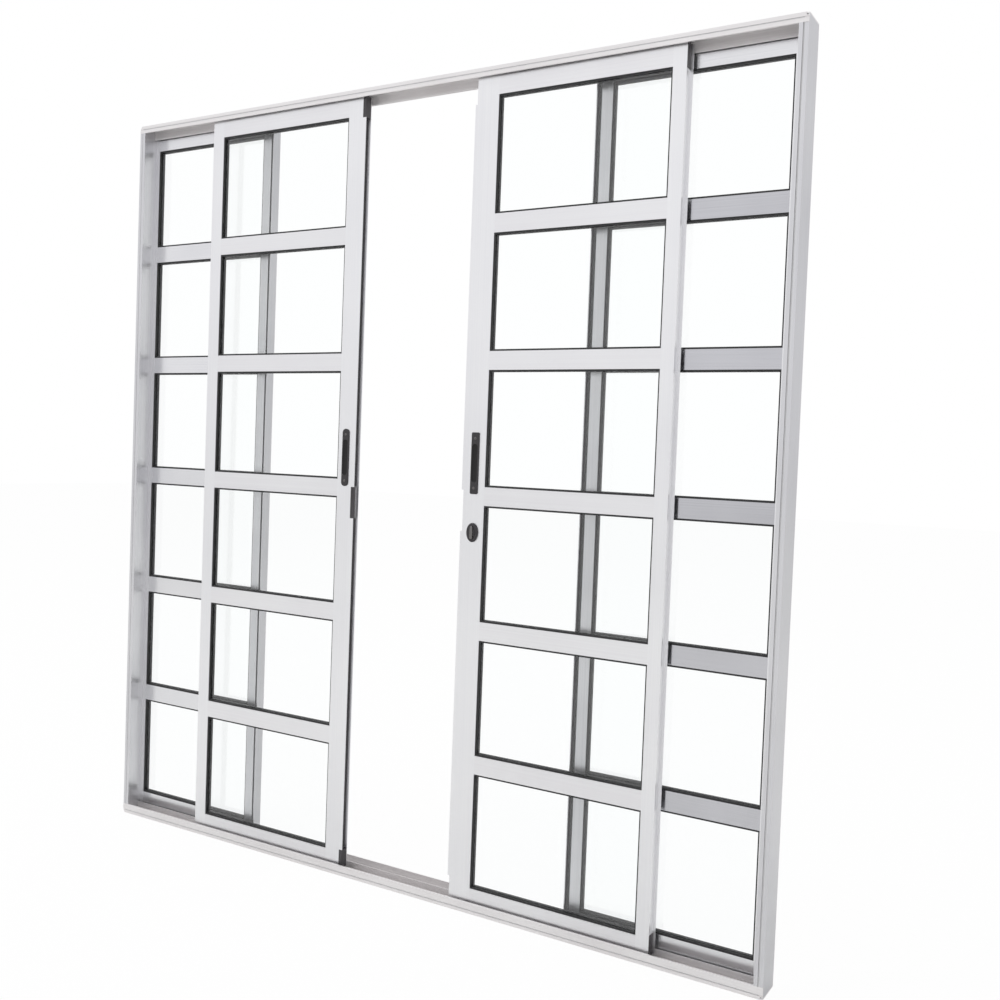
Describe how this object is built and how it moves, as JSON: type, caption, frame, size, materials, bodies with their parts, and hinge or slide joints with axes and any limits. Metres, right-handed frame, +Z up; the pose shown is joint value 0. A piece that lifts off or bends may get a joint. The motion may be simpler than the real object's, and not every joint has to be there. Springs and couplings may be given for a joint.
{
  "type": "sliding patio door",
  "caption": "Aluminium patio door frame with fixed glazed leaves behind and sliding glazed leaves in front that part in the middle.",
  "frame": {"origin": "middle of the sill's underside", "axes": "+X to the right as seen from the sliding leaves' side, +Y away from the viewer through the wall, +Z up"},
  "size_m": [2, 0.08, 2.1],
  "materials": {
    "frame_aluminium": "satin anodised",
    "leaf_aluminium": "satin anodised",
    "clear_glass": "clear",
    "black_gasket": "matt",
    "black_plastic": "matt",
    "black_metal": "satin",
    "roller_plastic": "satin"
  },
  "bodies": {
    "frame": {"head": "frame_aluminium", "sill": "frame_aluminium", "left_jamb": "frame_aluminium", "right_jamb": "frame_aluminium", "left_fixed_outer_stile": "leaf_aluminium", "left_fixed_inner_stile": "leaf_aluminium", "left_fixed_top_rail": "leaf_aluminium", "left_fixed_bottom_rail": "leaf_aluminium", "left_fixed_cross_rails": "leaf_aluminium", "left_fixed_glass": "clear_glass", "left_fixed_gaskets": "black_gasket", "right_fixed_outer_stile": "leaf_aluminium", "right_fixed_inner_stile": "leaf_aluminium", "right_fixed_top_rail": "leaf_aluminium", "right_fixed_bottom_rail": "leaf_aluminium", "right_fixed_cross_rails": "leaf_aluminium", "right_fixed_glass": "clear_glass", "right_fixed_gaskets": "black_gasket"},
    "left_leaf": {"left_slide_trailing_stile": "leaf_aluminium", "left_slide_meeting_stile": "leaf_aluminium", "left_slide_top_rail": "leaf_aluminium", "left_slide_bottom_rail": "leaf_aluminium", "left_slide_cross_rails": "leaf_aluminium", "left_slide_glass": "clear_glass", "left_slide_gaskets": "black_gasket", "left_slide_rollers": "roller_plastic", "left_slide_end_caps": "black_plastic", "left_slide_pull_handle": "black_plastic", "left_slide_strike": "black_metal"},
    "right_leaf": {"right_slide_trailing_stile": "leaf_aluminium", "right_slide_meeting_stile": "leaf_aluminium", "right_slide_top_rail": "leaf_aluminium", "right_slide_bottom_rail": "leaf_aluminium", "right_slide_cross_rails": "leaf_aluminium", "right_slide_glass": "clear_glass", "right_slide_gaskets": "black_gasket", "right_slide_rollers": "roller_plastic", "right_slide_end_caps": "black_plastic", "right_slide_pull_handle": "black_plastic", "right_slide_lock": "black_metal"}
  },
  "joints": [
    {"name": "left_leaf_slide", "type": "slide", "parent": "frame", "child": "left_leaf", "axis": [-1, 0, 0], "range_m": [-0.152, 0.26]},
    {"name": "right_leaf_slide", "type": "slide", "parent": "frame", "child": "right_leaf", "axis": [1, 0, 0], "range_m": [-0.187, 0.232]}
  ]
}
